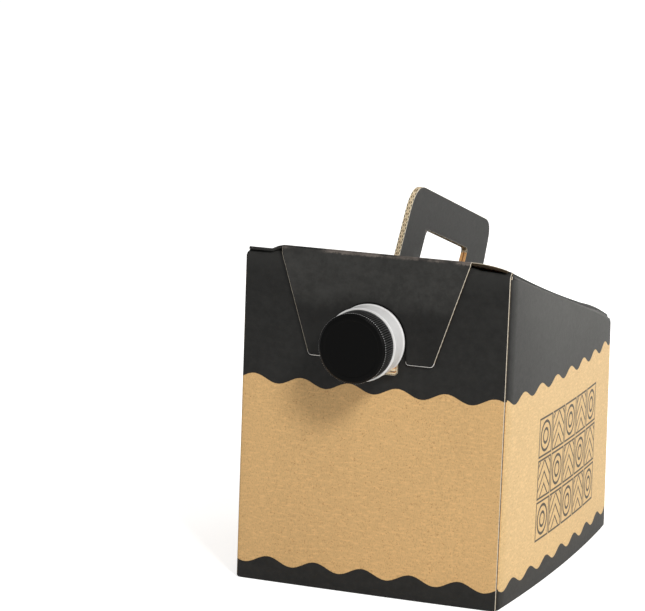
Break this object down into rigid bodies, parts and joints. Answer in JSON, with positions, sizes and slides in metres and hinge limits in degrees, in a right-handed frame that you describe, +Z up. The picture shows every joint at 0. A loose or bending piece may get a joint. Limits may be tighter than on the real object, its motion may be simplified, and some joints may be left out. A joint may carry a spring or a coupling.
{
  "type": "beverage takeout container",
  "caption": "Corrugated bag-in-box drinks carton with a sloping lid, a folded carry handle, a closing flap and a capped pouring spout.",
  "frame": {"origin": "middle of the carton's base, on the surface that it stands on", "axes": "+X to the right as seen from the spout's side, +Y from the spout to the rear, +Z up"},
  "size_m": [0.1682, 0.2585, 0.2316],
  "materials": {
    "printed_board": "matte kraft board with black print",
    "black_board": "matte black print on kraft board",
    "white_plastic": "satin white polyethylene",
    "black_plastic": "matte black with fine ribs",
    "liner_foam": "foamed sealing disc",
    "bag_film": "metallised film"
  },
  "bodies": {
    "carton": {"carton": "printed_board", "spout_fitment": "white_plastic", "bag": "bag_film"},
    "flap": {"closing_flap": "black_board"},
    "seal": {"cap_liner": "liner_foam"},
    "cap": {"cap": "black_plastic"}
  },
  "joints": [
    {"name": "flap_hinge", "type": "hinge", "parent": "carton", "child": "flap", "pos_m": [0, -0.11437, 0.19865], "axis": [-1, 0, 0], "range_deg": [0, 120]},
    {"name": "cap_travel", "type": "slide", "parent": "carton", "child": "seal", "axis": [0, -1, 0], "range_m": [0, 0.0095]},
    {"name": "cap_turn", "type": "hinge", "parent": "seal", "child": "cap", "pos_m": [-0.001, -0.14, 0.1495], "axis": [0, -1, 0], "range_deg": [0, 810]}
  ],
  "couplings": [
    {"joint": "cap_travel", "follows": "cap_turn", "m_per_rad": 0.00066845}
  ]
}
